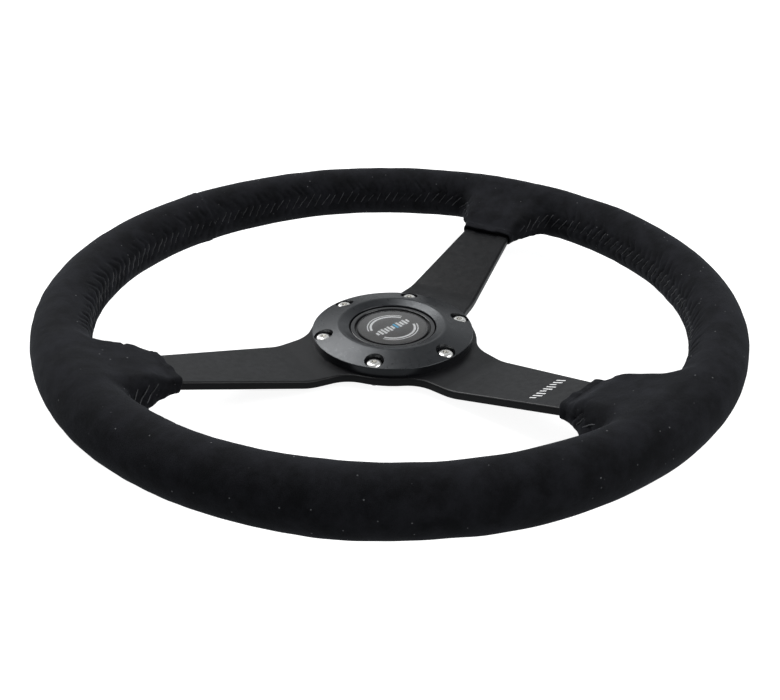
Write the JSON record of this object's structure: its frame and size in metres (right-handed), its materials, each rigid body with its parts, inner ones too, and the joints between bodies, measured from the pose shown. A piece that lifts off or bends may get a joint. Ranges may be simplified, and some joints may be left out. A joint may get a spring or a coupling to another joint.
{
  "type": "steering wheel",
  "caption": "Dished three-spoke steering wheel with a suede rim, black alloy spoke frame, bolted trim ring and a sprung horn button.",
  "frame": {"origin": "centre of the mounting face at the back of the spoke frame, on the wheel's axis", "axes": "+Z along the steering axis towards the driver, +Y towards twelve o'clock, the bottom spoke along -Y"},
  "size_m": [0.35, 0.35, 0.0438],
  "materials": {
    "suede": "black suede with a short nap, matte",
    "thread": "black waxed sewing thread",
    "anodised_frame": "black anodised over a fine brushed grain, satin",
    "anodised_ring": "black anodised over a turned finish, satin",
    "bare_aluminium": "bare aluminium",
    "bolt_steel": "bright zinc plate",
    "foam": "self-skinned polyurethane foam",
    "button_plastic": "black moulded plastic",
    "bezel_gloss": "gloss black",
    "emblem_print": "dark grey printed disc with a white ring mark",
    "emblem_lens": "clear resin",
    "o_ring_rubber": "black rubber",
    "brass": "bare brass",
    "spring_steel": "bright spring steel"
  },
  "bodies": {
    "wheel": {"spoke_frame": "anodised_frame", "rim_hoop": "bare_aluminium", "hoop_rivets": "bare_aluminium", "foam_grip": "foam", "cover_left": "suede", "cover_right": "suede", "boot_bottom": "suede", "boot_left": "suede", "boot_right": "suede", "seam_top": "thread", "seam_left": "thread", "seam_right": "thread", "trim_ring": "anodised_ring", "hub_bolts": "bolt_steel", "horn_housing": "button_plastic", "horn_o_ring": "o_ring_rubber", "horn_bezel": "bezel_gloss", "lower_contact": "brass", "ground_pad": "brass", "return_spring": "spring_steel", "signal_terminal": "brass", "ground_terminal": "brass", "terminal_rivets": "brass"},
    "horn_button": {"horn_cap": "button_plastic", "emblem_disc": "emblem_print", "emblem_lens": "emblem_lens", "upper_contact": "brass"}
  },
  "joints": [
    {"name": "horn_press", "type": "slide", "parent": "wheel", "child": "horn_button", "axis": [0, 0, -1], "range_m": [0, 0.0015], "stiffness_N_per_m": 2700, "springref_m": -0.0015, "deforming": ["return_spring"]}
  ]
}
